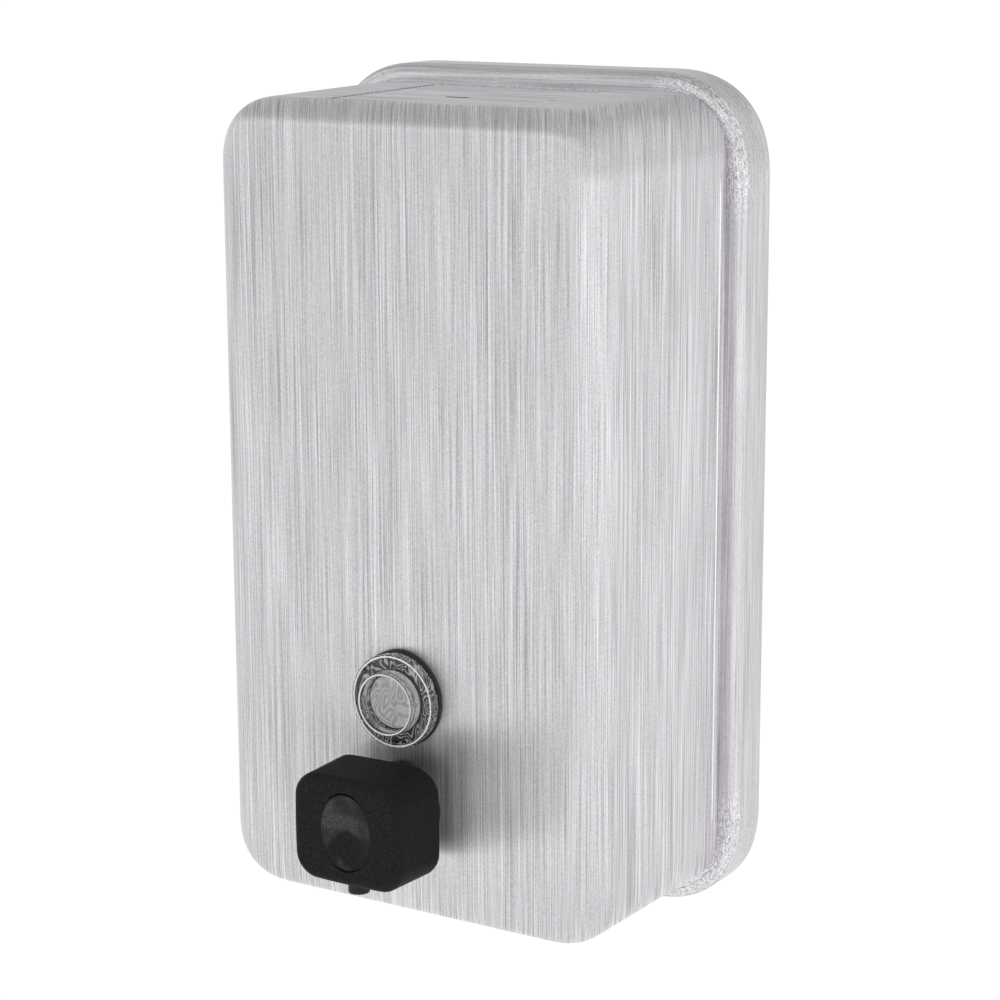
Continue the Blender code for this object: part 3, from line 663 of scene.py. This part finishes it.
# =====================================================================
# back pan, with a UV map that follows the rim: u along it, v across it
# =====================================================================
def pan_rings():
    rings, across = [], []
    ro, ri = PAN_FILLET, PAN_FILLET - PAN_T
    for k in range(9):
        a = (pi / 2) * (8 - k) / 8
        i = PAN_T + ri * (1 - cos(a))
        rings.append(outline(PAN_W - 2 * i, PAN_H - 2 * i, PAN_R - i, -(PAN_D - ro) - ri * sin(a), seg=24, mids=5))
    edge = [(PAN_T, -0.5), (PAN_T - 0.12, -0.34), (PAN_T / 2, -0.30), (0.12, -0.34), (0.0, -0.5)]
    for i, y in edge:
        rings.append(outline(PAN_W - 2 * i, PAN_H - 2 * i, PAN_R - i, y, seg=24, mids=5))
    for k in range(13):
        a = (pi / 2) * k / 12
        i = ro * (1 - cos(a))
        rings.append(outline(PAN_W - 2 * i, PAN_H - 2 * i, PAN_R - i, -(PAN_D - ro) - ro * sin(a), seg=24, mids=5))
    for i in (PAN_FILLET + 1.2, PAN_FILLET + 6.0):
        rings.append(outline(PAN_W - 2 * i, PAN_H - 2 * i, max(PAN_R - i, 2), -PAN_D, seg=24, mids=5))
    return rings


rings = pan_rings()
pan = loft_object("pan", rings, sharp=50)


def rim_uv(ob):
    me = ob.data
    uvl = me.uv_layers.new(name="UVMap")
    base = outline(PAN_W, PAN_H, PAN_R, 0, seg=24, mids=5)
    # length along the outer rim at each point, starting at the middle of the bottom
    n = len(base)
    acc = [0.0]
    for i in range(n):
        acc.append(acc[-1] + (base[(i + 1) % n] - base[i]).length)
    total = acc[-1]
    pts = [(p.x, p.z) for p in base]

    def along(x, z):
        best, bi = 1e9, 0
        dx, dz = x, z
        # nearest point on the rim's outline in direction from the inner rectangle
        for i, (a, b) in enumerate(pts):
            d = (a - x) ** 2 + (b - z) ** 2
            if d < best:
                best, bi = d, i
        res = None
        for i in (bi - 1, bi):
            a, b = Vector(pts[i % n]), Vector(pts[(i + 1) % n])
            t = max(0.0, min(1.0, (Vector((x, z)) - a).dot(b - a) / max((b - a).length_squared, 1e-9)))
            q = a.lerp(b, t)
            d = (Vector((x, z)) - q).length
            if res is None or d < res[0]:
                res = (d, acc[i % n] + t * (b - a).length)
        return res[1], res[0]

    cache = {}
    ro = PAN_FILLET
    for poly in me.polygons:
        us = []
        for li in poly.loop_indices:
            vi = me.loops[li].vertex_index
            if vi not in cache:
                co = me.vertices[vi].co * 1000
                u, d = along(co.x, co.z)
                cache[vi] = (u, d - co.y)
            us.append((li, *cache[vi]))
        lo = min(u for _, u, _ in us)
        for li, u, v in us:
            if u - lo > total / 2:
                u -= total
            uvl.data[li].uv = (u * MM, v * MM)


rim_uv(pan)
finish_mesh(pan, 50)
wear(pan, M_PAN, "back_pan")

# =====================================================================
# lid
# =====================================================================
lid = refined("filler_lid", 0.22, 3, 40, "lid_plate", merge=False)   # its slot is a hole in a flat face
wear(lid, M_SHELL, "filler_lid")

# =====================================================================
# sight window
# =====================================================================
W = (0, 0, WINDOW_Z)
lens_profile = rounded([(0.0, -76.0), (6.75, -76.0), (6.95, -78.5), (7.6, -78.5), (7.6, -74.9), (9.9, -74.9),
                        (10.4, -74.9), (10.55, -75.35), (11.3, -75.35), (11.3, -72.6), (7.4, -72.6), (7.4, -60.0),
                        (6.6, -60.0), (6.6, -74.0), (0.0, -74.0)], 0.32, 5)
lens = turned_object("window_clear", lens_profile, 128, c=W, closed=False, sharp=60)
finish_mesh(lens, 60, weighted=False)
wear(lens, M_CLEAR, "window_lens")
gask = turned_object("window_ring", rounded([(7.8, -72.35), (11.55, -72.35), (11.55, -71.3), (7.8, -71.3)], 0.35, 5), 96, c=W)
finish_mesh(gask, 60)
wear(gask, M_RUBBER, "window_gasket")

# =====================================================================
# push button: a hollow cap with a finger dimple
# =====================================================================
CAP_FRONT, CAP_REAR = (30.0, 26.0, 5.7, -67.4), (31.0, 26.9, 6.2, -67.5)
CAP_E = 2.1
DIMPLE = (7.0, 9.1, 1.5, -67.2)


def cap_outline(y, inset, seg=14, mids=9):
    t = (y - BUTTON_REAR) / (BUTTON_FRONT - BUTTON_REAR)
    w, h, r, cz = (a + (b - a) * t for a, b in zip(CAP_REAR, CAP_FRONT))
    pts = outline(w - 2 * inset, h - 2 * inset, r - inset, y, cz, seg, 2.0, mids)
    for p in pts:                                # the sides are a little convex
        fx_, fz_ = p.x / (w / 2), (p.z - cz) / (h / 2)
        p.x -= 0.40 * fx_ * fz_ ** 2 * (1.0 if abs(fx_) > 0.2 else 0.0)
        p.z -= 0.40 * fz_ * fx_ ** 2 * (1.0 if abs(fz_) > 0.2 else 0.0)
    return pts


wall, face = 1.8, 2.4
rings = [cap_outline(BUTTON_FRONT + face, wall + 1.0), cap_outline(BUTTON_FRONT + face + 0.3, wall + 0.3),
         cap_outline(BUTTON_FRONT + face + 1.0, wall), cap_outline(BUTTON_REAR - 0.5, wall),
         cap_outline(BUTTON_REAR - 0.12, wall - 0.12), cap_outline(BUTTON_REAR, wall - 0.5),
         cap_outline(BUTTON_REAR, 0.5), cap_outline(BUTTON_REAR - 0.12, 0.12), cap_outline(BUTTON_REAR - 0.5, 0.0),
         cap_outline(-84.0, 0.0), cap_outline(-88.0, 0.0)]
for k in range(13):
    a = (pi / 2) * k / 12
    rings.append(cap_outline(BUTTON_FRONT + CAP_E * (1 - sin(a)), CAP_E * (1 - cos(a))))
outer = cap_outline(BUTTON_FRONT, CAP_E)
a_, b_, d_, z_ = DIMPLE
ell = []
for p in outer:                                  # each point's place on the dimple's edge
    th = atan2((p.z - z_) / b_, p.x / a_)
    ell.append(Vector((a_ * cos(th), BUTTON_FRONT, z_ + b_ * sin(th))))
for f in (0.2, 0.4, 0.6, 0.8, 0.93):
    rings.append([p.lerp(e, f) for p, e in zip(outer, ell)])
lip = 0.10
for rr in (1.05, 1.02, 1.0, 0.98, 0.95, 0.9, 0.82, 0.72, 0.6, 0.46, 0.32, 0.18, 0.07):
    dep = d_ * (1 - rr * rr) if rr < 1 else 0.0
    if rr >= 0.95:                               # the dimple's edge is softly rounded
        s = (1.05 - rr) / 0.10
        dep = d_ * (1 - 0.95 ** 2) * s * s
    rings.append([Vector(((e.x) * rr, BUTTON_FRONT + dep, z_ + (e.z - z_) * rr)) for e in ell])
cap = loft_object("button_cap", rings, sharp=60)
boolean(cap, rod_object("sh", 2.85, -90, -76, axis='Z', c=(0, SPOUT_Y, 0), n=48))
finish_mesh(cap, 60)
wear(cap, M_BUTTON, "push_button")

# spout: hub on the plunger and a short tube that comes out under the cap
spout = rod_object("spout_hub", 4.7, -92.4, -86.8, c=(0, 0, VALVE_Z), n=48)
leg = turned_object("leg", [(0.001, -83.0 + 1.6), (1.9, -83.0 + 1.6), (1.9, -82.95), (2.1, -83.0), (2.35, -82.95), (2.55, -82.7),
                            (2.55, VALVE_Z), (0.001, VALVE_Z)], 48, 'Z', (0, SPOUT_Y, 0), closed=False)
lg = rod_object("spout_leg", 2.55, -83.0, VALVE_Z, axis='Z', c=(0, SPOUT_Y, 0), n=48)
bpy.data.objects.remove(leg, do_unlink=True)
boolean(spout, lg, 'UNION')
boolean(spout, rod_object("ss", 3.3, -91.3, -80, c=(0, 0, VALVE_Z), n=48))
boolean(spout, rod_object("sb", 1.9, -90, -79, axis='Z', c=(0, SPOUT_Y, 0), n=48))
boolean(spout, rod_object("sc", 1.2, -80, VALVE_Z, axis='Z', c=(0, SPOUT_Y, 0), n=32))
bevel(spout, 0.35, 3, 50)
finish_mesh(spout, 50)
wear(spout, M_BLACK, "spout_tube")

# =====================================================================
# valve parts seen behind the button
# =====================================================================
V = (0, 0, VALVE_Z)
cyl = [(3.25, -75.0), (10.4, -75.0), (10.4, -72.8), (8.0, -72.8), (8.0, -71.0)]
y = -71.0
while y < -60.5:                                 # thread on the neck
    cyl += [(8.0, y), (7.55, y + 0.5), (8.0, y + 1.0)]
    y += 1.0
cyl += [(8.0, -60.0), (7.0, -59.2), (7.0, -41.6), (5.5, -41.6), (5.5, -73.2), (3.25, -73.2)]
vc = turned_object("valve_body", rounded(cyl, 0.18, 3), 96, c=V, sharp=50)
finish_mesh(vc, 50)
wear(vc, M_BLACK, "valve_cylinder")
for node, name, ri_, ro_, ya, yb in (("valve_outer_gasket", "valve_seal_front", 8.35, 10.8, -72.5, -71.3),
                                     ("valve_inner_gasket", "valve_seal_back", 8.35, 11.2, -69.9, -68.9)):
    g = turned_object(name, rounded([(ri_, ya), (ro_, ya), (ro_, yb), (ri_, yb)], 0.35, 5), 96, c=V)
    finish_mesh(g, 60)
    wear(g, M_RUBBER, node)

# =====================================================================
# the rest: finer copies of the CAD solids with broken edges
# =====================================================================
for node, mat, width, ang in (
        ("wall_bracket", M_MILL, 0.35, 40), ("hanger_rail", M_MILL, 0.30, 40),
        ("filler_frame", M_MILL, 0.20, 50), ("lid_hinge_bracket", M_MILL, 0.20, 50),
        ("latch_guide", M_MILL, 0.20, 50), ("lock_latch", M_MILL, 0.20, 40),
        ("hinge_pin", M_PIN, 0.25, 50), ("window_washer", M_GREY, 0.25, 50),
        ("window_nut", M_GREY, 0.25, 40), ("valve_lock_nut", M_BLACK, 0.25, 40),
        ("inlet_elbow", M_BLACK, 0.35, 45), ("dip_tube", M_GREY, 0.25, 50),
        ("plunger_rod", M_GREY, 0.2, 50), ("piston", M_GREY, 0.15, 50),
        ("u_cup_seal", M_RUBBER, 0.1, 50), ("outlet_duckbill", M_RUBBER, 0.06, 50)):
    wear(refined(node, width, 2, ang, node + "_fine"), mat, node)

ball = bmesh.new()
bmesh.ops.create_icosphere(ball, subdivisions=4, radius=2.6 * MM)
me = bpy.data.meshes.new("check_ball")
ball.to_mesh(me)
ball.free()
bo = bpy.data.objects.new("check_ball", me)
scene.collection.objects.link(bo)
lo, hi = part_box("inlet_ball")
me.transform(Matrix.Translation((lo + hi) / 2))
me.shade_smooth()
wear(bo, M_PIN, "inlet_ball")

spring_pts = []
TURNS, PER = 6.5, 40
N = int(TURNS * PER)
y_a, y_b, dead = -55.7, -42.1, 1.0
for i in range(N + 1):
    t_ = i / N * TURNS
    u = min(max((t_ - dead) / (TURNS - 2 * dead), 0.0), 1.0)
    lead = 0.95 * (min(t_, dead) / dead + max(t_ - (TURNS - dead), 0.0) / dead)
    yy = y_a + lead + (y_b - y_a - 1.9) * u
    spring_pts.append(Vector((4.3 * cos(2 * pi * t_), yy, VALVE_Z + 4.3 * sin(2 * pi * t_))))
rings = []
for i, p in enumerate(spring_pts):
    d = (spring_pts[min(i + 1, N)] - spring_pts[max(i - 1, 0)]).normalized()
    out = Vector((p.x, 0, p.z - VALVE_Z)).normalized()
    side = d.cross(out).normalized()
    out = side.cross(d).normalized()
    rings.append([p + 0.45 * (cos(2 * pi * j / 10) * out + sin(2 * pi * j / 10) * side) for j in range(10)])
sp = loft_object("spring_coil", rings, sharp=60)
wear(sp, M_SPRING, "return_spring")
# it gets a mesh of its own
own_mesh(sp)

# =====================================================================
# stage, light and camera
# =====================================================================
me = bpy.data.meshes.new("floor")
S, FZ = 30.0, -0.42
me.from_pydata([(-S, -S, FZ), (S, -S, FZ), (S, S, FZ), (-S, S, FZ)], [], [(0, 1, 2, 3)])
floor = bpy.data.objects.new("floor", me)
scene.collection.objects.link(floor)
ft = Tree("floor_white")
p, n, _ = ft.coords()
fx, fy, fz = ft.xyz(p)
g = ft.noise(p, 0.8, 2.0)
# painted light: the floor glows by its own emission, raised in front on the right and lowered in front on the
# left, a painted pool of light that lights the steel; camera rays see it plain white
painted_light_right = ft.math('MULTIPLY', ft.step(fx, 0.4, 2.0), ft.step(fy, 1.5, -0.6))
glow = ft.math('MULTIPLY_ADD', painted_light_right, 0.31, 1.0)
painted_shade_left = ft.math('MULTIPLY', ft.step(fx, -0.8, -2.2), ft.step(fy, 0.8, -0.2))
glow = ft.math('MULTIPLY_ADD', painted_shade_left, -0.14, glow)
glow = ft.math('MULTIPLY_ADD', g, 0.01, glow)
ft.set(Base_Color=ft.tint((0.03, 0.03, 0.03), ft.math('MULTIPLY_ADD', g, 0.02, 0.99)), Roughness=0.9,
       Specular_IOR_Level=0.0, Emission_Color=(1.0, 1.0, 1.0))
seen = ft.node("ShaderNodeLightPath").outputs["Is Camera Ray"]
ft.set(Emission_Strength=ft.mix(seen, glow, 1.0, 'FLOAT'))
me.materials.append(ft.mat)

# a white room: bright near the horizon, dimmer overhead
w = bpy.data.worlds.new("studio")
w.use_nodes = True
nt = w.node_tree
bg = nt.nodes["Background"]


def wnode(kind, **props):
    n_ = nt.nodes.new(kind)
    for k_, v_ in props.items():
        setattr(n_, k_, v_)
    return n_


def wmap(v, lo, hi, a_, b_):
    m_ = wnode("ShaderNodeMapRange", interpolation_type='SMOOTHSTEP')
    for i_, x_ in enumerate((v, lo, hi, a_, b_)):
        if isinstance(x_, bpy.types.NodeSocket):
            nt.links.new(x_, m_.inputs[i_])
        else:
            m_.inputs[i_].default_value = x_
    return m_.outputs[0]


tc = wnode("ShaderNodeTexCoord")
sp_ = wnode("ShaderNodeSeparateXYZ")
nt.links.new(tc.outputs["Generated"], sp_.inputs[0])
dx_, dy_, dz_ = sp_.outputs
high = wmap(dx_, 0.0, 0.6, 0.60, 0.88)                 # overhead: a bank of lamps to the right
front_ = wmap(dz_, 0.565, 0.605, 0.98, high)           # white wall in front, up to its top edge
rear_ = wmap(dz_, 0.17, 0.42, 0.90, high)              # lower white wall behind
room = wmap(dy_, -0.15, 0.25, front_, rear_)
lp = wnode("ShaderNodeLightPath")
mx = wnode("ShaderNodeMix", data_type='FLOAT')
nt.links.new(lp.outputs["Is Camera Ray"], mx.inputs[0])
nt.links.new(room, mx.inputs[2])
mx.inputs[3].default_value = 1.0
nt.links.new(mx.outputs[0], bg.inputs["Strength"])
bg.inputs["Color"].default_value = (1.0, 1.0, 1.0, 1.0)
scene.world = w
scene.view_settings.view_transform = 'Standard'


def area(name, at, aim, size, power, size_y=None):
    d = bpy.data.lights.new(name, 'AREA')
    d.shape = 'RECTANGLE'
    d.size = size
    d.size_y = size_y or size
    d.energy = power
    o = bpy.data.objects.new(name, d)
    scene.collection.objects.link(o)
    o.location = at
    o.rotation_euler = (Vector(aim) - Vector(at)).to_track_quat('-Z', 'Y').to_euler()
    o.visible_camera = False
    return o


area("key", (-0.7, -2.2, 1.9), (0, -0.04, 0), 0.8, 1.5)

az, pitch, roll, f, dist, ux, uy, px, py = 31.993, 12.672, -0.235, 2684.774, 641.278, 12.112, 2.674, 0.0, 0.0
a, e = radians(az), radians(pitch)
back = Vector((sin(a) * cos(e), -cos(a) * cos(e), sin(e)))
fwd = -back
right = fwd.cross(Vector((0, 0, 1))).normalized()
up = right.cross(fwd).normalized()
C = back * dist + right * ux + up * uy + Vector((0, -50, 0))
ro_ = radians(roll)
r2, u2 = right * cos(ro_) + up * sin(ro_), -right * sin(ro_) + up * cos(ro_)
cd = bpy.data.cameras.new("camera")
cam = bpy.data.objects.new("camera", cd)
scene.collection.objects.link(cam)
cam.matrix_world = Matrix(((r2.x, u2.x, back.x, C.x * MM), (r2.y, u2.y, back.y, C.y * MM),
                           (r2.z, u2.z, back.z, C.z * MM), (0, 0, 0, 1)))
cd.sensor_width = 36.0
cd.lens = f * 36.0 / 1000.0
cd.shift_x = -px / 1000.0
cd.shift_y = py / 1000.0
cd.clip_start = 0.01
cd.clip_end = 200.0
scene.camera = cam
